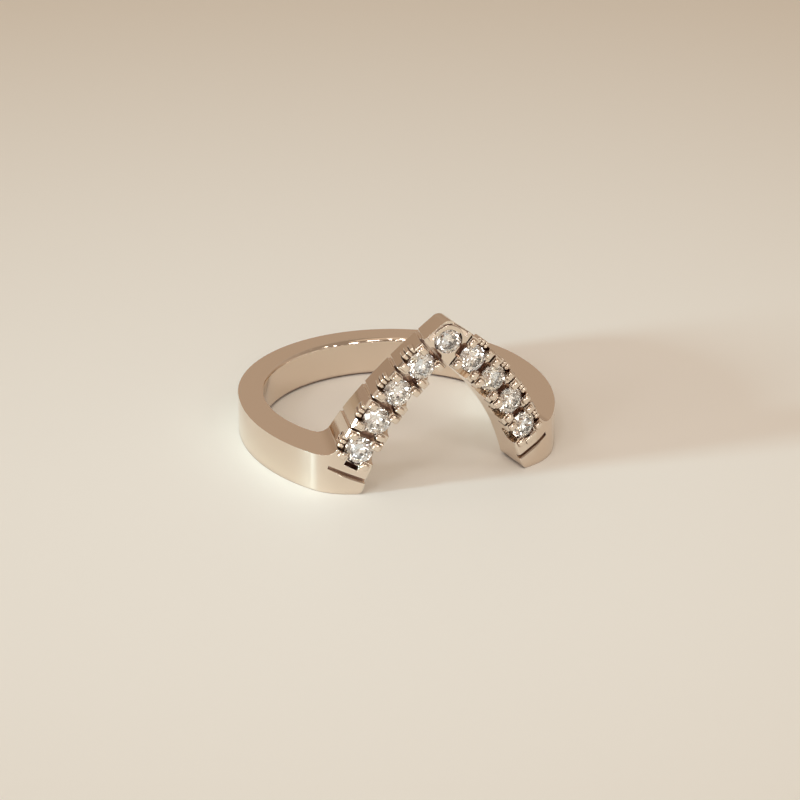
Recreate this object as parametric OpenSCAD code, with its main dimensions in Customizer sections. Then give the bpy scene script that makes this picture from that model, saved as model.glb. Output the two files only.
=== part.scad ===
// Chevron ring with nine round stones in cut-down settings.
// The ring lies on its side: Z is the finger axis, the floor is z = 0 and the
// chevron faces -Y with its peak up. The left arm mirrors the right one.
// Millimetres throughout.

/* [Shank] */
// Radius of the finger hole
bore_r = 8.5; // [7.5:0.25:10.5]
// Width of the shank along the finger
shank_w = 2.6; // [2.2:0.1:3.4]
// Wall of the shank round the back of the finger
back_wall = 1.7; // [1.4:0.05:2]
// Radius of the shank's sides, which run out to the shoulders
side_r = 13.1; // [12.6:0.1:14]
// Angle from the front at which the sides leave the back
side_from = 107; // [100:1:115]
// Rounding of the shoulders, seen from above
corner_r = 4; // [3:0.5:5]
// Rounding of the edges of the finger hole
comfort_r = 0.3; // [0.15:0.05:0.5]

/* [Chevron] */
// Height of the peak stone's centre above the floor
peak_h = 10.2; // [9:0.1:12]
// Wall of the chevron behind the peak stone, from the finger to the front
front_wall = 1.95; // [1.8:0.05:2.2]
// Radius of the chevron's front, which is flatter than the shank's wall
front_r = 18; // [16:0.5:20]
// Width of each arm across its row of stones
arm_w = 2.5; // [2.4:0.05:2.8]
// Angle of an arm below the horizontal at the peak
arm_drop = 38; // [35:1:42]
// Radius of an arm's curve, seen square on
arm_r = 20.5; // [19:0.5:25]
// How far each arm's plane is turned back from the front
arm_turn = 9; // [6:1:12]
// Rounding of the peak's outer corner
peak_r = 0.6; // [0.3:0.1:1]
// Hollow between the top of the shank and an arm
shoulder_r = 1.3; // [0.8:0.1:2]
// Rounding of an arm's foot on the floor
foot_r = 0.5; // [0.3:0.1:0.8]
// How far the arms stand back from the finger above the shank
arm_relief = 0.05; // [0.03:0.01:0.1]

/* [Stones] */
// Diameter of each stone
stone_d = 1.85; // [1.6:0.05:1.9]
// Distance from stone to stone along an arm
pitch = 2.32; // [2.2:0.02:2.5]
// Number of stones on each arm
arm_stones = 4; // [4:1:4]
// Width of the table, as a share of the diameter
table_share = 0.56; // [0.5:0.01:0.62]
// Height of the crown, as a share of the diameter
crown_share = 0.16; // [0.14:0.01:0.18]
// Thickness of the girdle, as a share of the diameter
girdle_share = 0.03; // [0.02:0.01:0.04]
// Depth of the pavilion, as a share of the diameter
pavilion_share = 0.43; // [0.41:0.01:0.45]

/* [Setting] */
// Depth of a girdle's upper edge below the front
set_depth = 0.2; // [0.15:0.05:0.3]
// Gap between a stone and its seat
seat_gap = 0.03; // [0.02:0.01:0.05]
// How far the prongs reach over a stone
grip = 0.12; // [0.08:0.02:0.16]
// Width of the middle of a seat that no prong reaches into, across the arm
seat_open = 0.9; // [0.7:0.05:1.1]
// Radius of the hole behind each stone
hole_r = 0.45; // [0.35:0.05:0.55]
// Radius of the round cut under each stone in the side walls
scoop_r = 0.52; // [0.4:0.02:0.6]
// Depth of the centre of that cut below the front
scoop_depth = 0.6; // [0.45:0.05:0.7]
// Number of flats round the cutter of that cut
scoop_flats = 12; // [8:2:12]
// Width of the saw cut between stones
saw_w = 0.14; // [0.1:0.02:0.2]
// Depth of the saw cut between stones
saw_depth = 0.85; // [0.6:0.05:1]
// Bevel along both sides of the saw cut
saw_bevel = 0.06; // [0.03:0.01:0.1]
// Bevel along the outer edges of the prongs
prong_bevel = 0.12; // [0.06:0.02:0.16]
// How far the slot between two stones laps into their seats
pit_lap = 0.06; // [0.04:0.01:0.1]
// Length of that slot across the arm
pit_length = 1.1; // [0.9:0.05:1.3]
// Radius of the groove down an arm's outer side between stones
flute_r = 0.13; // [0.1:0.01:0.16]

/* [Peak and ends] */
// Width of the collar between the peak stone and the bright cut
collar_w = 0.15; // [0.1:0.01:0.18]
// Thickness of the rim outside the bright cut
rim_w = 0.05; // [0.03:0.01:0.1]
// Depth of the bright cut at the rim
bright_depth = 0.17; // [0.1:0.01:0.2]
// Length of the cut down the arm from the peak stone's centre
bright_run = 0.85; // [0.6:0.05:0.95]
// Length of the cut's straight part above that centre
bright_rise = 0.45; // [0.3:0.05:0.6]
// Angle of the cut's turn over the peak stone
bright_turn = 84; // [70:2:100]
// How much wider the cut's facet is at its lower end
bright_flare = 0.35; // [0.2:0.05:0.4]
// Distance from the last stone's centre to the end wall's cut
end_run = 1.85; // [1.7:0.05:2]
// Width of the end wall's cut
end_w = 0.28; // [0.2:0.02:0.34]
// Depth of the end wall's cut
end_depth = 0.4; // [0.3:0.05:0.6]
// Bevel along the outer edge of the end wall's cut
end_bevel = 0.09; // [0.05:0.01:0.12]
// Length of the deep pit beyond the last stone, along the arm
end_pit = 0.34; // [0.2:0.02:0.4]
// How far the end wall's cut runs past the arm's outer side
end_out = 0.1; // [0:0.05:0.3]

/* [Hidden] */
$fn = 96;
eps = 0.003;                                    // keeps cuts from touching tangent
back_r = bore_r + back_wall;                    // shank's outer circle
front_t = bore_r + front_wall;                  // front of the chevron at the peak
y_mid = (front_t + crown_share * stone_d - set_depth - back_r) / 2; // centres the whole
tall = peak_h + arm_w;                          // above everything
reach = 2 * back_r;                             // beyond everything
pit_r = pitch / 2 - stone_d / 2 - seat_gap + pit_lap;
prong_run = pitch / 2 - scoop_r + 0.05;         // from a saw cut into the next scoop
collar_r = stone_d / 2 + collar_w;
rim_r = arm_w / 2 - rim_w;
girdle = girdle_share * stone_d;
crown = crown_share * stone_d;
pavilion = pavilion_share * stone_d;

// An arm's plane: u runs across and z up. The front's circle has its centre at
// (front_cu, front_ct), and the arm's curve at (arm_cu, arm_cz).
front_cu = (front_r - front_t) * sin(arm_turn);
front_ct = -(front_r - front_t) * cos(arm_turn);
arm_cu = -front_t * sin(arm_turn) - arm_r * sin(arm_drop);
arm_cz = peak_h - arm_r * cos(arm_drop);
high_r = arm_r + arm_w / 2;                     // an arm's outer side
low_r = arm_r - arm_w / 2;                      // an arm's inner side

// Place along an arm at the length s from the peak stone.
function arm_angle(s) = 90 - arm_drop - s / arm_r * 180 / PI;
function arm_u(s, r = arm_r) = arm_cu + r * cos(arm_angle(s));
function arm_z(s, r = arm_r) = arm_cz + r * sin(arm_angle(s));
// The front surface over a place u in the arm's plane: its depth and its lean.
function front_depth(u) = front_ct + sqrt(front_r * front_r - pow(u - front_cu, 2));
function front_lean(u) = asin((u - front_cu) / front_r);

// Stands its children on the front at the length s along the right arm, with
// local z out of the front, x down the arm and y towards the arm's outer side.
module on_arm(s) {
    u = arm_u(s);
    lean = front_lean(u);
    head = 90 - arm_angle(s);
    rotate([0, 0, arm_turn]) translate([u, -front_depth(u), arm_z(s)])
        rotate([0, 0, lean]) rotate([90, 0, 0])
            rotate([0, 0, -atan2(sin(head) * cos(lean), cos(head))]) children();
}

// Stands its children on the front at the peak, with local y up.
module on_peak() {
    translate([0, -front_t, peak_h]) rotate([90, 0, 0]) children();
}

// Turns a flat drawing in the right arm's plane into a block through the front.
module through_arm() {
    rotate([0, 0, arm_turn]) rotate([90, 0, 0])
        translate([0, 0, bore_r / 4]) linear_extrude(reach) children();
}

// Moves a finished piece from the finger's axis to the middle of the whole.
module centred() {
    translate([0, y_mid, 0]) children();
}

module both_sides() {
    children();
    mirror([1, 0, 0]) children();
}

// ---- metal ------------------------------------------------------------------

// Where circles of the radii ra and rb round a and b meet, on the -Y side.
function meet(a, ra, b, rb) = let (
    d = norm(b - a), e = (b - a) / d,
    k = (ra * ra - rb * rb + d * d) / (2 * d))
    a + k * e + sqrt(ra * ra - k * k) * [-e[1], e[0]];

// Plan of the metal: round at the back, with sides of a larger radius that run
// out to rounded shoulders, and the chevron's flatter front between them.
module plan() {
    side = (side_r - back_r + 0.02) * [-sin(side_from), cos(side_from)];
    front = [0, front_r - front_t];
    c = meet(front, front_r - corner_r, side, side_r - corner_r);
    out = 1.5 * corner_r * [(c - front) / norm(c - front), (c - side) / norm(c - side)];
    difference() {
        union() {
            circle(back_r);
            intersection() {
                translate(side) circle(side_r);
                mirror([1, 0]) translate(side) circle(side_r);
                translate(front) circle(front_r);
                translate([-reach, back_r * -cos(side_from) - 2 * reach]) square(2 * reach);
            }
        }
        both_sides() difference() {
            polygon([c, c + out[0], c + out[0] + out[1], c + out[1]]);
            translate(c) circle(corner_r + eps);
        }
    }
}

module outer_wall(h) {
    linear_extrude(h) plan();
}

// Rounds the edge of the finger hole on the floor side.
module comfort_edge() {
    rotate_extrude() difference() {
        translate([bore_r - 0.5, -1]) square([0.5 + comfort_r - eps, 1 + comfort_r - eps]);
        translate([bore_r + comfort_r - eps, comfort_r - eps]) circle(comfort_r);
    }
}

// The rounding of the upper edge is full at the back and runs out at the arms.
module shank() {
    fu = arm_cu + sqrt(pow(high_r + shoulder_r, 2) - pow(shank_w + shoulder_r - arm_cz, 2));
    root = bore_r * cos(arm_turn + asin(fu / bore_r));
    difference() {
        outer_wall(shank_w);
        translate([0, bore_r, shank_w]) rotate([-atan2(comfort_r, bore_r + root), 0, 0])
            translate([0, -bore_r, 0]) mirror([0, 0, 1]) comfort_edge();
    }
}

// Everything inside both arms' curves of the radius r, as in a pointed arch.
module arch(r) {
    intersection() {
        through_arm() translate([arm_cu, arm_cz]) circle(r);
        mirror([1, 0, 0]) through_arm() translate([arm_cu, arm_cz]) circle(r);
    }
}

// Hollow between the shank's top and an arm's outer side.
module shoulder_profile() {
    fz = shank_w + shoulder_r;
    fu = arm_cu + sqrt(pow(high_r + shoulder_r, 2) - pow(fz - arm_cz, 2));
    k = high_r / (high_r + shoulder_r);
    tu = arm_cu + (fu - arm_cu) * k;
    tz = arm_cz + (fz - arm_cz) * k;
    ku = arm_cu + sqrt(pow(high_r, 2) - pow(shank_w - arm_cz, 2));
    sink = 0.3;
    difference() {
        polygon([[fu, shank_w], [fu, shank_w - sink], [ku - sink, shank_w - sink],
                 [tu - sink, tz], [tu, tz]]);
        translate([fu, fz]) circle(shoulder_r + eps);
    }
}

// What is cut away to round an arm's foot.
module foot_profile() {
    gu = arm_cu + sqrt(pow(low_r + foot_r, 2) - pow(foot_r - arm_cz, 2));
    k = low_r / (low_r + foot_r);
    tu = arm_cu + (gu - arm_cu) * k;
    tz = arm_cz + (foot_r - arm_cz) * k;
    difference() {
        polygon([[gu, -1], [gu, foot_r], [tu, tz], [tu - 1, tz], [tu - 1, -1]]);
        translate([gu, foot_r]) circle(foot_r + eps);
    }
}

// What is cut away to round the peak's outer corner.
module peak_cut() {
    back_u = arm_cu + bore_r * sin(arm_turn);
    front_u = arm_cu + front_t * sin(arm_turn);
    back_z = arm_cz + sqrt(high_r * high_r - back_u * back_u);
    front_z = arm_cz + sqrt(high_r * high_r - front_u * front_u);
    slope = asin(-front_u / high_r);            // of the sides beside the corner
    tilt = atan2(front_z - back_z, front_wall);
    drop = peak_r / cos(slope);
    half = peak_r * sin(slope);
    translate([0, -front_t, front_z]) rotate([90 - tilt, 0, 0])
        translate([0, 0, -2 * front_wall]) linear_extrude(3 * front_wall) difference() {
            translate([-half, -drop]) square([2 * half, drop + 1]);
            translate([0, -drop]) circle(peak_r + eps);
        }
}

module chevron() {
    intersection() {
        union() {
            arch(high_r);
            both_sides() through_arm() shoulder_profile();
        }
        outer_wall(tall);
    }
}

// Seat of one stone: the hole behind it, the cone under it, its girdle and the
// undercut of the prongs.
module seat() {
    r = stone_d / 2 + seat_gap;
    z1 = -set_depth + seat_gap;
    z0 = -set_depth - girdle - seat_gap;
    slope = pavilion / (stone_d / 2);
    rotate_extrude() polygon([
        [0, -2 * front_wall], [hole_r, -2 * front_wall],
        [hole_r, z0 - (r - hole_r) * slope], [r, z0], [r, z1],
        [r - grip - seat_gap, z1 + (grip + seat_gap) * 0.8],
        [r - grip - seat_gap, 1], [0, 1]]);
    intersection() {
        translate([0, 0, -set_depth]) cylinder(r = r, h = 1);
        translate([-arm_w, -seat_open / 2, -set_depth]) cube([2 * arm_w, seat_open, 1]);
    }
}

// Round cut in both side walls under a stone, open to the front.
module scoop() {
    translate([0, arm_w, -scoop_depth]) rotate([90, 0, 0])
        cylinder(r = scoop_r, h = 2 * arm_w, $fn = scoop_flats);
    translate([-scoop_r * cos(eps), -arm_w, -scoop_depth]) cube([2 * scoop_r, 2 * arm_w, 1]);
}

module saw_cut() {
    translate([-saw_w / 2, -arm_w, -saw_depth]) cube([saw_w, 2 * arm_w, 2]);
    for (y = [-1, 1]) translate([0, y * (pit_length / 2 - pit_r), -saw_depth]) cylinder(r = pit_r, h = 2);
    translate([-pit_r + eps, -pit_length / 2 + pit_r, -saw_depth])
        cube([2 * (pit_r - eps), pit_length - 2 * pit_r, 2]);
}

// Groove down an arm's outer side between two stones.
module flute(s) {
    rotate([0, 0, arm_turn]) rotate([90, 0, 0])
        translate([arm_u(s, high_r), arm_z(s, high_r), bore_r / 4]) cylinder(r = flute_r, h = reach);
}

// Bar that bevels an edge along local y, or along local x when turned.
module bevel_bar(length, leg) {
    rotate([0, 45, 0]) cube([leg * sqrt(2), length, leg * sqrt(2)], center = true);
}

// Bevels of the saw cut and of the front's edges beside it, down the arm from
// the place a to the place b. The arm's own sides are named by +1 and -1.
module prong_bevels(a, b, sides = [-1, 1]) {
    for (y = sides) translate([(a + b) / 2, y * arm_w / 2, 0]) rotate([0, 0, 90])
        bevel_bar(b - a, prong_bevel);
}

// Half of the bright cut round the peak stone: a facet that falls from the
// collar to the rim along an arm's edge, and widens at its lower end.
module bright_cut() {
    on_arm(0) difference() {
        translate([-bright_rise, 0, 0]) rotate([90, 0, 90]) linear_extrude(bright_run + bright_rise)
            polygon([[collar_r - bright_flare, 0.5], [collar_r - bright_flare, 0],
                     [rim_r, -bright_depth], [rim_r, 0.5]]);
        translate([0, 0, -1]) cylinder(r = collar_r, h = 2);
    }
}

// The same cut's turn over the top of the peak stone.
module bright_arc() {
    on_peak() rotate([0, 0, 90 - bright_turn / 2]) rotate_extrude(angle = bright_turn)
        polygon([[collar_r + 0.01, 0.5], [collar_r + 0.01, 0], [rim_r + 0.02, -bright_depth], [rim_r + 0.02, 0.5]]);
}

module end_cut() {
    s = arm_stones * pitch;
    on_arm(s + end_run) translate([-end_w / 2, -arm_w, -end_depth])
        cube([end_w, 1.5 * arm_w + end_out, 2]);
    on_arm(s + end_run) translate([end_w / 2, (end_out - arm_w / 2) / 2, 0])
        bevel_bar(1.5 * arm_w + end_out, end_bevel);
    on_arm(s) translate([stone_d / 2 + seat_gap, -scoop_r * 0.9, -saw_depth - 0.2])
        cube([end_pit, 1.8 * scoop_r, 3]);
}

module ring_body() color("antiquewhite") centred() difference() {
    union() {
        shank();
        chevron();
    }
    translate([0, 0, -1]) cylinder(r = bore_r, h = tall + 2);
    translate([0, 0, shank_w + 0.05]) cylinder(r = bore_r + arm_relief, h = tall);
    comfort_edge();
    arch(low_r);
    both_sides() through_arm() foot_profile();
    peak_cut();
    bright_arc();
    on_peak() seat();
    both_sides() {
        bright_cut();
        for (i = [1 : arm_stones]) {
            on_arm(i * pitch) {
                seat();
                scoop();
            }
            on_arm((i - 0.5) * pitch) {
                saw_cut();
                bevel_bar(2 * arm_w, saw_w / 2 + saw_bevel);
                prong_bevels(i == 1 ? 0 : -prong_run, prong_run);
            }
            flute((i - 0.5) * pitch);
        }
        on_arm((arm_stones + 0.5) * pitch) prong_bevels(-prong_run, end_run - pitch / 2, [-1]);
        end_cut();
    }
}

// ---- stones -----------------------------------------------------------------

// Round brilliant with its girdle's upper edge at z = 0: table, 8 stars,
// 8 bezels, 16 upper halves, girdle, 16 lower halves and 8 mains.
module brilliant() {
    r = stone_d / 2;
    rt = r * table_share / cos(22.5);
    rk = (rt + r) / 2 * 1.02;                   // where stars, bezels and halves meet
    zk = crown - (rk * cos(22.5) - rt) * crown / (r - rt);
    rp = r * 0.24;                              // where lower halves and mains meet
    zp = -girdle - (r - rp * cos(22.5)) * pavilion / r;
    function ring(rad, z, n, turn) = [for (i = [0 : n - 1])
        [rad * cos(turn + i * 360 / n), rad * sin(turn + i * 360 / n), z]];
    points = concat(ring(rt, crown, 8, 0), ring(rk, zk, 8, 22.5), ring(r, 0, 16, 0),
                    ring(r, -girdle, 16, 0), ring(rp, zp, 8, 22.5), [[0, 0, -girdle - pavilion]]);
    t = 0; k = 8; g = 16; h = 32; p = 48; c = 56;
    n = 8;
    faces = concat(
        [[for (i = [n - 1 : -1 : 0]) t + i]],
        [for (i = [0 : n - 1]) [t + i, t + (i + 1) % n, k + i]],
        [for (i = [0 : n - 1]) [t + i, k + i, g + 2 * i, k + (i + n - 1) % n]],
        [for (i = [0 : n - 1]) [k + i, g + 2 * i + 1, g + 2 * i]],
        [for (i = [0 : n - 1]) [k + i, g + (2 * i + 2) % 16, g + 2 * i + 1]],
        [for (i = [0 : 15]) [g + i, g + (i + 1) % 16, h + (i + 1) % 16, h + i]],
        [for (i = [0 : n - 1]) [p + i, h + 2 * i, h + 2 * i + 1]],
        [for (i = [0 : n - 1]) [p + i, h + 2 * i + 1, h + (2 * i + 2) % 16]],
        [for (i = [0 : n - 1]) [c, p + (i + n - 1) % n, h + 2 * i, p + i]]);
    translate([0, 0, -set_depth]) polyhedron(points, faces, convexity = 2);
}

module stone_apex() color("aliceblue") centred() on_peak() brilliant();
module stone_on_right(i) color("aliceblue") centred() on_arm(i * pitch) brilliant();
module stone_on_left(i) mirror([1, 0, 0]) stone_on_right(i);

ring_body();
stone_apex();
stone_on_right(1);  // stone_right_1
stone_on_right(2);  // stone_right_2
stone_on_right(3);  // stone_right_3
stone_on_right(4);  // stone_right_4
stone_on_left(1);  // stone_left_1
stone_on_left(2);  // stone_left_2
stone_on_left(3);  // stone_left_3
stone_on_left(4);  // stone_left_4
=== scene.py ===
# %% [markdown]
# # A chevron ring in polished white gold
#
# The ring lies on its side on a pale floor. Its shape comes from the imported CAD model, which this script loads
# as a fixed frame. Blender adds what the CAD leaves out: the rounded claws of the setting and the flutes in its
# scoops, the softly polished edges and the finish of white gold, the fire of cut stones, and the light.

# %% Load the frame
import math

import bmesh
import bpy
from mathutils import Matrix, Vector


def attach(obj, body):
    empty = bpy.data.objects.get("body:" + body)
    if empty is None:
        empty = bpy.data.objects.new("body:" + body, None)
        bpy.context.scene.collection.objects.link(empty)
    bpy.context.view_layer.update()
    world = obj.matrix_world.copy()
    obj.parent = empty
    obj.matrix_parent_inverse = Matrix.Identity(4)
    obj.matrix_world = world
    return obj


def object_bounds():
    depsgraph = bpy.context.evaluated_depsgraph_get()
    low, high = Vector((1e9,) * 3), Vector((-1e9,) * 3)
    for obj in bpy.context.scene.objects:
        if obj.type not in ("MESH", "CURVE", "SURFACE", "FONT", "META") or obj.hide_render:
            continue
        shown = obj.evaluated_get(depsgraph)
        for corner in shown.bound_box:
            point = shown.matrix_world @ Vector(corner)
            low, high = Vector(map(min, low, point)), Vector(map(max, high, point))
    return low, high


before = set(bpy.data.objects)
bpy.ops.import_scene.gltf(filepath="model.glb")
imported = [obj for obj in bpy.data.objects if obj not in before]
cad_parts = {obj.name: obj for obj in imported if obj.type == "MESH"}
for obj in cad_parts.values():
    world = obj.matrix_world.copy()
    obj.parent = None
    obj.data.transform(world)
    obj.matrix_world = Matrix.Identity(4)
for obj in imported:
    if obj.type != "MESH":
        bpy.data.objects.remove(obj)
cad_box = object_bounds()
print("CAD box in mm:", [round(v * 1000, 2) for v in cad_box[0]], [round(v * 1000, 2) for v in cad_box[1]])

# %% [markdown]
# ## Camera
#
# The photograph was taken with a long lens, from the front left and a little above the ring. A long lens keeps
# the near and far sides of the ring at nearly the same scale. The camera is placed by its angle round the
# finger's axis, its height above the floor and its distance, so that each can be read and changed by itself.

# %% Camera
SHANK_OUTER_R = 10.2e-3
FINGER_AXIS = Vector((0, cad_box[1].y - SHANK_OUTER_R, 0))
CAMERA_TURN = math.radians(20.4)
CAMERA_RISE = math.radians(24.0)
CAMERA_DISTANCE = 0.2668
AIM_RIGHT, AIM_UP = 0.56e-3, 1.63e-3

forward_flat = Vector((math.sin(CAMERA_TURN), math.cos(CAMERA_TURN), 0))
forward = (forward_flat * math.cos(CAMERA_RISE) - Vector((0, 0, math.sin(CAMERA_RISE)))).normalized()
right = forward.cross(Vector((0, 0, 1))).normalized()
up = right.cross(forward)
aim_shift = right * AIM_RIGHT + up * AIM_UP

camera_data = bpy.data.cameras.new("Camera")
camera_data.lens = 180
camera_data.sensor_width = 36
camera_data.clip_start = 0.01
camera_data.clip_end = 20
camera = bpy.data.objects.new("Camera", camera_data)
camera.location = FINGER_AXIS - forward * CAMERA_DISTANCE + aim_shift
camera.rotation_mode = "QUATERNION"
camera.rotation_quaternion = forward.to_track_quat("-Z", "Y")
bpy.context.scene.collection.objects.link(camera)
bpy.context.scene.camera = camera
print("camera at", [round(v, 4) for v in camera.location])

# %% [markdown]
# ## Floor
#
# A plain pale floor carries the ring, its shadow and the light that the polished metal throws back. It is one
# large square, grown from a grid, and it isn't part of the ring.

# %% Floor
FLOOR_REACH = 3.0

bm = bmesh.new()
bmesh.ops.create_grid(bm, x_segments=1, y_segments=1, size=FLOOR_REACH)
floor_mesh = bpy.data.meshes.new("floor")
bm.to_mesh(floor_mesh)
bm.free()
floor = bpy.data.objects.new("floor", floor_mesh)
bpy.context.scene.collection.objects.link(floor)
print("floor:", len(floor_mesh.polygons), "face, which reaches", FLOOR_REACH, "m each way")

# %% [markdown]
# Far from the ring the floor's colour turns slowly to brown, a painted shade for a table outside the lamps' reach.
# The steep sides of the arms look along the floor into that distance, and it is what keeps them from looking chalky.
#
# A material in code is a list of nodes and links, and most lines only set a number on a socket. The first helper
# adds a node and sets its numbers in one line. A name that is a socket goes to the socket, any other is a setting.
# A Mix node lists its sockets for numbers, vectors and colours one after the other, so its two colours are inputs
# 6 and 7, and the mixed colour is output 2.


# %% Floor finish
def add_node(nodes, kind, **values):
    """Adds a shader node and sets its inputs by name, or its settings where there is no such input."""
    node = nodes.new(kind)
    for name, value in values.items():
        label = name.replace("_", " ").title()
        if label in node.inputs:
            node.inputs[label].default_value = value
        else:
            setattr(node, name, value)
    return node


def new_material(name):
    """A material with its nodes, the call that links them, and its Principled shader."""
    material = bpy.data.materials.new(name)
    material.use_nodes = True
    tree = material.node_tree
    return material, tree.nodes, tree.links.new, tree.nodes["Principled BSDF"]


FLOOR_PALE = (0.90, 0.88, 0.83, 1)
# The far colour is a painted shade: the floor darkens to it away from the ring, where the lamps reach less.
FLOOR_FAR_SHADE = (0.60, 0.49, 0.375, 1)
FLOOR_SHADE_FADE = 0.165
LIT_MIDDLE = FINGER_AXIS - forward_flat * 0.01

floor_finish, nodes, link, floor_shader = new_material("floor_cream")
floor_shader.inputs["Roughness"].default_value = 0.5
floor_shader.inputs["Specular IOR Level"].default_value = 0.3
place = nodes.new("ShaderNodeTexCoord")
away = add_node(nodes, "ShaderNodeVectorMath", operation="DISTANCE")
away.inputs[1].default_value = LIT_MIDDLE
fade = add_node(nodes, "ShaderNodeMapRange", interpolation_type="SMOOTHSTEP", from_min=0.0, from_max=FLOOR_SHADE_FADE)
tint = add_node(nodes, "ShaderNodeMix", data_type="RGBA")
tint.inputs[6].default_value = FLOOR_PALE
tint.inputs[7].default_value = FLOOR_FAR_SHADE
link(place.outputs["Object"], away.inputs[0])
link(away.outputs["Value"], fade.inputs["Value"])
link(fade.outputs["Result"], tint.inputs[0])
link(tint.outputs[2], floor_shader.inputs["Base Color"])
floor_mesh.materials.append(floor_finish)
print("the floor's finish has", len(nodes), "nodes and is brown from", FLOOR_SHADE_FADE, "m on")

# %% [markdown]
# ## Light
#
# Polished metal and cut stones show the room more than they show themselves, so the room comes first. It is
# painted as a sky with two sides. The far side is a warm brown, because the flat top of the shank mirrors it to
# the camera. The near side is pale low down, where the stones look, and darker above, so that its lamps stand out.
# Each side is a colour ramp over the height of the direction, from 0 at the horizon to 1 overhead.

# %% Room
FAR_SKY = [(0.0, (0.43, 0.32, 0.24)), (0.15, (0.43, 0.32, 0.23)), (0.43, (0.53, 0.41, 0.31)),
           (0.60, (0.48, 0.39, 0.31)), (1.0, (0.34, 0.26, 0.19))]
NEAR_SKY = [(0.0, (1.0, 0.90, 0.78)), (0.26, (0.86, 0.76, 0.65)), (0.45, (0.27, 0.21, 0.16)),
            (0.75, (0.38, 0.30, 0.24)), (1.0, (0.34, 0.26, 0.19))]


def colour_steps(nodes, stops):
    """A colour ramp with the given places and colours."""
    ramp = nodes.new("ShaderNodeValToRGB")
    elements = ramp.color_ramp.elements
    for element, (place, colour) in zip((elements[0], elements[1]), (stops[0], stops[-1])):
        element.position, element.color = place, (*colour, 1)
    for place, colour in stops[1:-1]:
        elements.new(place).color = (*colour, 1)
    return ramp


world = bpy.data.worlds.new("Room")
bpy.context.scene.world = world
world.use_nodes = True
nodes, link = world.node_tree.nodes, world.node_tree.links.new
nodes.clear()
direction = nodes.new("ShaderNodeTexCoord")
height = nodes.new("ShaderNodeSeparateXYZ")
far, near = colour_steps(nodes, FAR_SKY), colour_steps(nodes, NEAR_SKY)
link(direction.outputs["Generated"], height.inputs[0])
link(height.outputs["Z"], far.inputs["Fac"])
link(height.outputs["Z"], near.inputs["Fac"])
print("the room has", len(FAR_SKY), "colours on its far side and", len(NEAR_SKY), "on its near side")

# %% [markdown]
# The two sides meet in a soft blend. The dot product of a direction with the photograph's line of sight, laid
# flat, says how far away from the camera it points, and that number mixes them. The room stays where it is when
# another camera looks at the ring.

# %% Near and far side
facing = add_node(nodes, "ShaderNodeVectorMath", operation="DOT_PRODUCT")
facing.inputs[1].default_value = forward_flat
side = add_node(nodes, "ShaderNodeMapRange", from_min=-0.25, from_max=0.45)
both_sides = add_node(nodes, "ShaderNodeMix", data_type="RGBA")
background = nodes.new("ShaderNodeBackground")
output = nodes.new("ShaderNodeOutputWorld")
link(direction.outputs["Generated"], facing.inputs[0])
link(facing.outputs["Value"], side.inputs["Value"])
link(side.outputs["Result"], both_sides.inputs[0])
link(near.outputs["Color"], both_sides.inputs[6])
link(far.outputs["Color"], both_sides.inputs[7])
link(both_sides.outputs[2], background.inputs["Color"])
link(background.outputs["Background"], output.inputs["Surface"])
print("the room has", len(nodes), "nodes")

# %% [markdown]
# Three kinds of lamp stand in the room. A large warm softbox hangs overhead; its picture is the pale line along
# the inner edge of the shank. A small cool window very low on the left throws the long soft shadow to the right.
# Nine sparks round the camera are what the facets of the stones and the edges of the claws flash back. A glint is
# the picture of a lamp, so each of them is small and bright and has dark room between it and the next.

# %% Lamps
SPARK_SIZE = 0.15
SPARK_TINTS = ((1.0, 0.95, 0.87), (0.95, 0.97, 1.0))
SPARKS = [(-178, 44, 0.60), (-143, 50, 0.60), (165, 30, 0.55), (-122, 30, 0.60), (-160, 10, 0.45),
          (-95, 48, 0.45), (130, 45, 0.45), (-150, 72, 0.40), (-108, 12, 0.35)]      # turn, rise, watts


def soft_lamp(name, turn, rise, distance, size, power, colour):
    """A square area lamp that faces the ring. Its direction is turned clockwise from +Y, seen from above."""
    lamp = bpy.data.lights.new(name, "AREA")
    lamp.shape = "SQUARE"
    lamp.size = size
    lamp.energy = power
    lamp.color = colour
    holder = bpy.data.objects.new(name, lamp)
    turn, rise = math.radians(turn), math.radians(rise)
    place = Vector((math.sin(turn) * math.cos(rise), math.cos(turn) * math.cos(rise), math.sin(rise)))
    holder.location = FINGER_AXIS + place * distance
    holder.rotation_mode = "QUATERNION"
    holder.rotation_quaternion = (-place).to_track_quat("-Z", "Y")
    bpy.context.scene.collection.objects.link(holder)


soft_lamp("softbox", turn=-100, rise=78, distance=0.8, size=0.8, power=0.8, colour=(1.0, 0.82, 0.65))
soft_lamp("window", turn=-87.3, rise=7.4, distance=1.0, size=0.12, power=13.6, colour=(0.60, 0.87, 0.97))
for number, (turn, rise, power) in enumerate(SPARKS):
    soft_lamp(f"spark_{number}", turn, rise, distance=1.0, size=SPARK_SIZE, power=power,
              colour=SPARK_TINTS[number % 2])
print("lamps:", [lamp.name for lamp in bpy.data.lights])

# %% [markdown]
# ## Claws
#
# On the real ring each stone of the arms is held by four claws. A setter makes them from the corners of the metal
# that stand round the stone: the corner is split off, pushed over the edge of the stone and rounded with a cup
# bur. The CAD has the corners, and the little rounded tips are added here. Each stone's own mesh says where they
# belong: its table is the flat that most of its area shares, and the stone before it gives the direction of the
# arm.

# %% Where each stone is
stones = {name: node for name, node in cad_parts.items() if name.startswith("stone")}


def table_of(stone):
    """The middle and the outward direction of a stone's table."""
    areas = {}
    for face in stone.data.polygons:
        key = tuple(round(v, 2) for v in face.normal)
        area, weighted, normal = areas.get(key, (0.0, Vector(), Vector()))
        areas[key] = (area + face.area, weighted + face.center * face.area, normal + face.normal * face.area)
    area, weighted, normal = max(areas.values(), key=lambda entry: entry[0])
    return weighted / area, normal.normalized()


tables = {name: table_of(stone) for name, stone in stones.items()}
for name, (middle, outward) in sorted(tables.items()):
    print(name, [round(v * 1000, 2) for v in middle], [round(v, 2) for v in outward])

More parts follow.
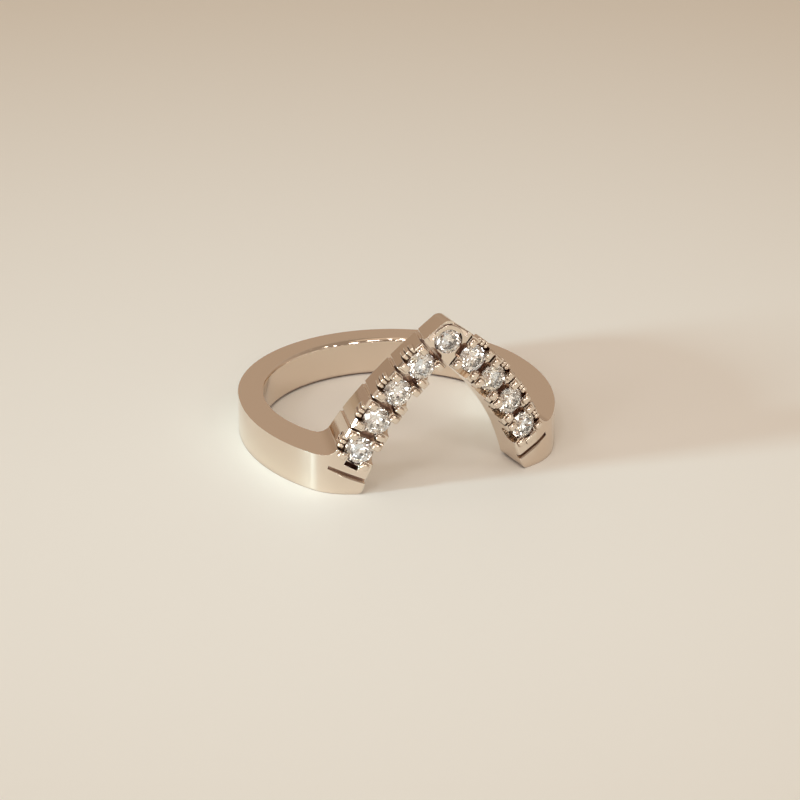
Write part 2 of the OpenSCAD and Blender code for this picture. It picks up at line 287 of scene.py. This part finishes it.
# %% [markdown]
# A tip starts as a cube. Its upper face is made smaller and moved towards the stone, so that it leans over the
# edge, and all its edges get a wide bevel of three segments, which leaves hardly a flat on it. That is a small
# shape with few faces, and 32 of them still make a light mesh. The helper for it is tried on one block first.


# %% A rounded block beside a stone
def add_block(bm, middle, axes, place, size, foot, edge, lean=0.0, top=(1.0, 1.0)):
    """A rounded block beside a stone. Its foot lies below the table, and its top may be smaller and lean inwards."""
    along, across, outward = axes
    sign = Vector((math.copysign(1, place[0]), math.copysign(1, place[1]) if place[1] else 0, 0))
    base = middle + along * place[0] + across * place[1] - outward * foot
    turn = Matrix(axes).transposed().to_4x4()
    made = bmesh.ops.create_cube(bm, size=1.0)["verts"]
    bmesh.ops.scale(bm, verts=made, vec=size)
    bmesh.ops.translate(bm, verts=made, vec=(0, 0, size[2] / 2))
    upper = [vert for vert in made if vert.co.z > size[2] / 2]
    bmesh.ops.scale(bm, verts=upper, vec=(*top, 1.0))
    bmesh.ops.translate(bm, verts=upper, vec=-sign * lean)
    bmesh.ops.transform(bm, matrix=Matrix.Translation(base) @ turn, verts=made)
    edges = list({edge for vert in made for edge in vert.link_edges})
    bmesh.ops.bevel(bm, geom=edges, offset=edge, offset_type="OFFSET", segments=3, profile=0.5,
                    affect="EDGES", clamp_overlap=True, material=-1)


trial = bmesh.new()
add_block(trial, Vector(), (right, up, -forward), place=(1.0, 1.0), size=(1.0, 1.0, 1.0), foot=0.0, edge=0.2)
print("one block has", len(trial.faces), "faces")
trial.free()

# %% [markdown]
# The outer side of each arm has a scoop beside each stone. A setter leaves three upright flutes in it, which hold
# the stone from the side and shine between dark lines. They are made as the tips are, but tall and straight, and
# they stand on the bottom of the scoop. A low bar closes the row on the right arm.

# %% Claw tips and flutes
CLAW = (0.50e-3, 0.62e-3, 0.27e-3)      # along the arm, across it, and out of it
CLAW_MIDDLE = (0.80e-3, 0.84e-3)        # along and across, from the middle of a stone
CLAW_FOOT = 0.136e-3                    # below the table
CLAW_EDGE = 0.11e-3
FLUTE = (0.31e-3, 0.46e-3)              # along the arm and across it
FLUTE_ACROSS = 1.18e-3                  # from the middle of a stone
FLUTE_TOP = 0.26e-3                     # below the table
FLUTE_EDGE = 0.12e-3
FLUTES = ((-0.33e-3, 1.04e-3), (0.0, 1.16e-3), (0.33e-3, 1.04e-3))      # place along the arm, foot below the table
END_BAR = (0.46e-3, 1.02e-3, 0.11e-3)
END_BAR_ALONG = 1.17e-3
END_BAR_EDGE = 0.05e-3

bm = bmesh.new()
for arm in ("left", "right"):
    row = ["stone_apex"] + [f"stone_{arm}_{number}" for number in range(1, 5)]
    for previous, name in zip(row, row[1:]):
        middle, outward = tables[name]
        along = middle - tables[previous][0]
        along = (along - outward * along.dot(outward)).normalized()
        axes = (along, outward.cross(along), outward)
        outer_side = math.copysign(1, axes[1].z)
        for one in (-1, 1):
            for two in (-1, 1):
                add_block(bm, middle, axes, (CLAW_MIDDLE[0] * one, CLAW_MIDDLE[1] * two), CLAW, CLAW_FOOT,
                          CLAW_EDGE, lean=0.03e-3, top=(0.80, 0.80))
        for place_along, foot in FLUTES:
            add_block(bm, middle, axes, (place_along, FLUTE_ACROSS * outer_side), (*FLUTE, foot - FLUTE_TOP),
                      foot, FLUTE_EDGE)
add_block(bm, middle, axes, (END_BAR_ALONG, 0), END_BAR, CLAW_FOOT, END_BAR_EDGE, lean=0.01e-3, top=(0.80, 0.90))
bmesh.ops.recalc_face_normals(bm, faces=bm.faces)
claw_mesh = bpy.data.meshes.new("claws")
bm.to_mesh(claw_mesh)
bm.free()
claw_mesh.shade_smooth()
claws = bpy.data.objects.new("claws", claw_mesh)
bpy.context.scene.collection.objects.link(claws)
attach(claws, "root")
print("claws:", len(claw_mesh.polygons), "faces")

# %% [markdown]
# ## Finishes
#
# Two things change over every polished surface here: fine lines that the wheel left, and a very low waviness
# that makes reflections swim. Both are noise at different scales, so one node group gives a height from them,
# and a mask for the places that were touched. The metal and the stones use it with their own amounts.

# %% Node group for the polish
polish = bpy.data.node_groups.new("polish", "ShaderNodeTree")
polish.interface.new_socket("Position", in_out="INPUT", socket_type="NodeSocketVector")
for name, start_value in (("Waves per metre", 600.0), ("Lines per metre", 9000.0), ("Line share", 0.1)):
    polish.interface.new_socket(name, in_out="INPUT", socket_type="NodeSocketFloat").default_value = start_value
for name in ("Height", "Smudge"):
    polish.interface.new_socket(name, in_out="OUTPUT", socket_type="NodeSocketFloat")
nodes, link = polish.nodes, polish.links.new
entry = nodes.new("NodeGroupInput")
leave = nodes.new("NodeGroupOutput")
print("node group", polish.name, "takes", [socket.name for socket in entry.outputs if socket.name])

# %% [markdown]
# The waves are plain noise. The lines are noise too, stretched along one direction by a Mapping node, so that it
# runs in streaks. A Mix node adds a small share of lines to the waves. A third noise, with more detail, is the
# mask for the smudges, and it has somewhat fewer spots to the metre than there are waves.

# %% Waves, lines and smudges
SMUDGES_PER_WAVE = 0.7

waves = add_node(nodes, "ShaderNodeTexNoise", detail=1.0)
link(entry.outputs["Position"], waves.inputs["Vector"])
link(entry.outputs["Waves per metre"], waves.inputs["Scale"])
stretch = add_node(nodes, "ShaderNodeMapping", rotation=(0.3, 0.5, 0.4), scale=(1.0, 0.06, 1.0))
lines = add_node(nodes, "ShaderNodeTexNoise", detail=3.0, roughness=0.7)
link(entry.outputs["Position"], stretch.inputs["Vector"])
link(stretch.outputs["Vector"], lines.inputs["Vector"])
link(entry.outputs["Lines per metre"], lines.inputs["Scale"])
both = nodes.new("ShaderNodeMix")
link(entry.outputs["Line share"], both.inputs[0])
link(waves.outputs["Fac"], both.inputs[2])
link(lines.outputs["Fac"], both.inputs[3])
link(both.outputs[0], leave.inputs["Height"])
wide = add_node(nodes, "ShaderNodeMath", operation="MULTIPLY")
wide.inputs[1].default_value = SMUDGES_PER_WAVE
smudge = add_node(nodes, "ShaderNodeTexNoise", detail=4.0, roughness=0.6)
link(entry.outputs["Waves per metre"], wide.inputs[0])
link(wide.outputs[0], smudge.inputs["Scale"])
link(entry.outputs["Position"], smudge.inputs["Vector"])
link(smudge.outputs["Fac"], leave.inputs["Smudge"])
print("node group", polish.name, "has", len(nodes), "nodes")

# %% [markdown]
# ### White gold
#
# The look of white gold is nearly all reflection, so its edges matter more than its colour. A polished edge is
# never sharp, and the thin rounded strip along it catches the light as a bright line. The CAD edges are sharp. A
# bevel in the mesh would break up between the small cuts of the setting, so the Bevel node rounds the shading
# instead, by the normals it finds within a small radius. The polish is a bump on top of that.

# %% White gold: rounded edges and polish
EDGE_ROUND = 0.045e-3

white_gold, nodes, link, gold_shader = new_material("white_gold")
gold_shader.inputs["Metallic"].default_value = 1.0
position = nodes.new("ShaderNodeTexCoord")
surface = nodes.new("ShaderNodeGroup")
surface.node_tree = polish
surface.inputs["Waves per metre"].default_value = 450.0
surface.inputs["Lines per metre"].default_value = 16000.0
surface.inputs["Line share"].default_value = 0.08
rounded = add_node(nodes, "ShaderNodeBevel", samples=4, radius=EDGE_ROUND)
bump = add_node(nodes, "ShaderNodeBump", strength=0.25, distance=0.01e-3)
link(position.outputs["Object"], surface.inputs["Position"])
link(rounded.outputs["Normal"], bump.inputs["Normal"])
link(surface.outputs["Height"], bump.inputs["Height"])
link(bump.outputs["Normal"], gold_shader.inputs["Normal"])
print("edges are rounded by", round(EDGE_ROUND * 1000, 3), "mm")

# %% [markdown]
# A polisher's wheel doesn't reach the slots and seats between the stones, so they stay dull. Their colour is also
# painted a dark red-brown there, a painted shade. The Ambient Occlusion node finds such places, because most of
# what they can see is near. It is used twice: with a long reach for the pits and seats, and with a short one for
# the fine creases round the claws and in the saw lines. Where the rounded normal leaves the true one there is an
# edge, and edges get a paler colour, a painted highlight.

# %% White gold: painted shade in recesses, painted highlight on edges
PIT_REACH = 0.8e-3
CREASE_REACH = 0.14e-3
RECESSES = ((PIT_REACH, 0.36, 0.16), (CREASE_REACH, 0.72, 0.42))      # reach, open from, hidden at

hidden = []
for reach, open_from, hidden_at in RECESSES:
    seen = add_node(nodes, "ShaderNodeAmbientOcclusion", samples=4, distance=reach)
    hidden.append(add_node(nodes, "ShaderNodeMapRange", from_min=open_from, from_max=hidden_at))
    link(seen.outputs["AO"], hidden[-1].inputs["Value"])
depth = add_node(nodes, "ShaderNodeMath", operation="MAXIMUM")
link(hidden[0].outputs["Result"], depth.inputs[0])
link(hidden[1].outputs["Result"], depth.inputs[1])

true_shape = nodes.new("ShaderNodeNewGeometry")
agree = add_node(nodes, "ShaderNodeVectorMath", operation="DOT_PRODUCT")
edge = add_node(nodes, "ShaderNodeMapRange", from_min=0.995, from_max=0.90)
link(rounded.outputs["Normal"], agree.inputs[0])
link(true_shape.outputs["Normal"], agree.inputs[1])
link(agree.outputs["Value"], edge.inputs["Value"])
print("masks for", len(hidden), "kinds of recess and one for the edges")

# %% [markdown]
# The masks mix three colours: the warm grey of the flats, a paler painted highlight on the edges, and a dark
# red-brown painted shade in the recesses. The smudges of the polish group move the roughness a little, and the
# recesses are made dull.

# %% White gold: colour and gloss
GOLD = (0.795, 0.69, 0.585, 1)
# A paler colour along the edges, a painted highlight.
EDGE_HIGHLIGHT_GOLD = (0.97, 0.93, 0.87, 1)
# The recesses get a dark red-brown painted shade and a dull roughness.
RECESS_SHADE = (0.14, 0.035, 0.02, 1)
RECESS_ROUGHNESS = 0.4

# This mix paints a highlight along the edges.
tone = add_node(nodes, "ShaderNodeMix", data_type="RGBA")
tone.inputs[6].default_value = GOLD
tone.inputs[7].default_value = EDGE_HIGHLIGHT_GOLD
# This mix paints shade into the recesses.
recess_shade_mix = add_node(nodes, "ShaderNodeMix", data_type="RGBA")
recess_shade_mix.inputs[7].default_value = RECESS_SHADE
touched = add_node(nodes, "ShaderNodeMapRange", from_min=0.35, from_max=0.75, to_min=0.04, to_max=0.11)
dull = nodes.new("ShaderNodeMix")
dull.inputs[3].default_value = RECESS_ROUGHNESS
link(edge.outputs["Result"], tone.inputs[0])
link(depth.outputs[0], recess_shade_mix.inputs[0])
link(tone.outputs[2], recess_shade_mix.inputs[6])
link(recess_shade_mix.outputs[2], gold_shader.inputs["Base Color"])
link(surface.outputs["Smudge"], touched.inputs["Value"])
link(depth.outputs[0], dull.inputs[0])
link(touched.outputs["Result"], dull.inputs[2])
link(dull.outputs[0], gold_shader.inputs["Roughness"])
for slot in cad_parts["ring_body"].material_slots:
    slot.material = white_gold
claw_mesh.materials.append(white_gold)
print("white gold has", len(nodes), "nodes")

# %% [markdown]
# ### Diamond
#
# The CAD stones are true round brilliants with a table and facets, so they stay as they are and get the finish
# of a diamond: clear, very smooth, with a high index of refraction.

# %% Diamond: clear and smooth
DIAMOND_IOR = 2.42

diamond, nodes, link, diamond_shader = new_material("diamond")
diamond_shader.inputs["IOR"].default_value = DIAMOND_IOR
diamond_shader.inputs["Transmission Weight"].default_value = 1.0
position = nodes.new("ShaderNodeTexCoord")
surface = nodes.new("ShaderNodeGroup")
surface.node_tree = polish
surface.inputs["Waves per metre"].default_value = 1800.0
clean = add_node(nodes, "ShaderNodeMapRange", from_min=0.55, from_max=0.8, to_min=0.0, to_max=0.03)
link(position.outputs["Object"], surface.inputs["Position"])
link(surface.outputs["Smudge"], clean.inputs["Value"])
link(clean.outputs["Result"], diamond_shader.inputs["Roughness"])
print("a diamond bends light by", DIAMOND_IOR)

# %% [markdown]
# A real diamond also splits white light into colours. The renderer doesn't, so a few facets get a faint tint
# instead. All of a flat facet has one normal, and a white noise of that normal picks the facets. The ramp keeps
# most of them clear.

# %% Diamond: fire
TINTS = [(0.0, (1.0, 0.99, 0.96)), (0.82, (0.74, 0.86, 1.0)), (0.87, (1.0, 0.88, 0.66)), (0.94, (0.98, 0.82, 0.86)),
         (0.97, (1.0, 0.99, 0.97))]
SAME_FACET = 0.02

facet = nodes.new("ShaderNodeNewGeometry")
steps = add_node(nodes, "ShaderNodeVectorMath", operation="SNAP")
steps.inputs[1].default_value = (SAME_FACET, SAME_FACET, SAME_FACET)
pick = add_node(nodes, "ShaderNodeTexWhiteNoise", noise_dimensions="3D")
fire = colour_steps(nodes, TINTS)
fire.color_ramp.interpolation = "CONSTANT"
link(facet.outputs["True Normal"], steps.inputs[0])
link(steps.outputs["Vector"], pick.inputs["Vector"])
link(pick.outputs["Value"], fire.inputs["Fac"])
link(fire.outputs["Color"], diamond_shader.inputs["Base Color"])
for stone in stones.values():
    for slot in stone.material_slots:
        slot.material = diamond
print(len(stones), "stones, with", len(TINTS), "steps of colour")

# %% [markdown]
# Light goes to and fro many times inside a cut stone and in the narrow places of its setting. With the usual
# few bounces such a path ends as black, so the scene allows more of them.

# %% Bounces
cycles = bpy.context.scene.cycles
cycles.max_bounces = 24
cycles.glossy_bounces = 10
cycles.transmission_bounces = 20
print("up to", cycles.max_bounces, "bounces")

# %% [markdown]
# ## Colours on screen
#
# The standard view keeps the cream of the floor as it is set here.

# %% View
bpy.context.scene.view_settings.view_transform = "Standard"
print("view:", bpy.context.scene.view_settings.view_transform)
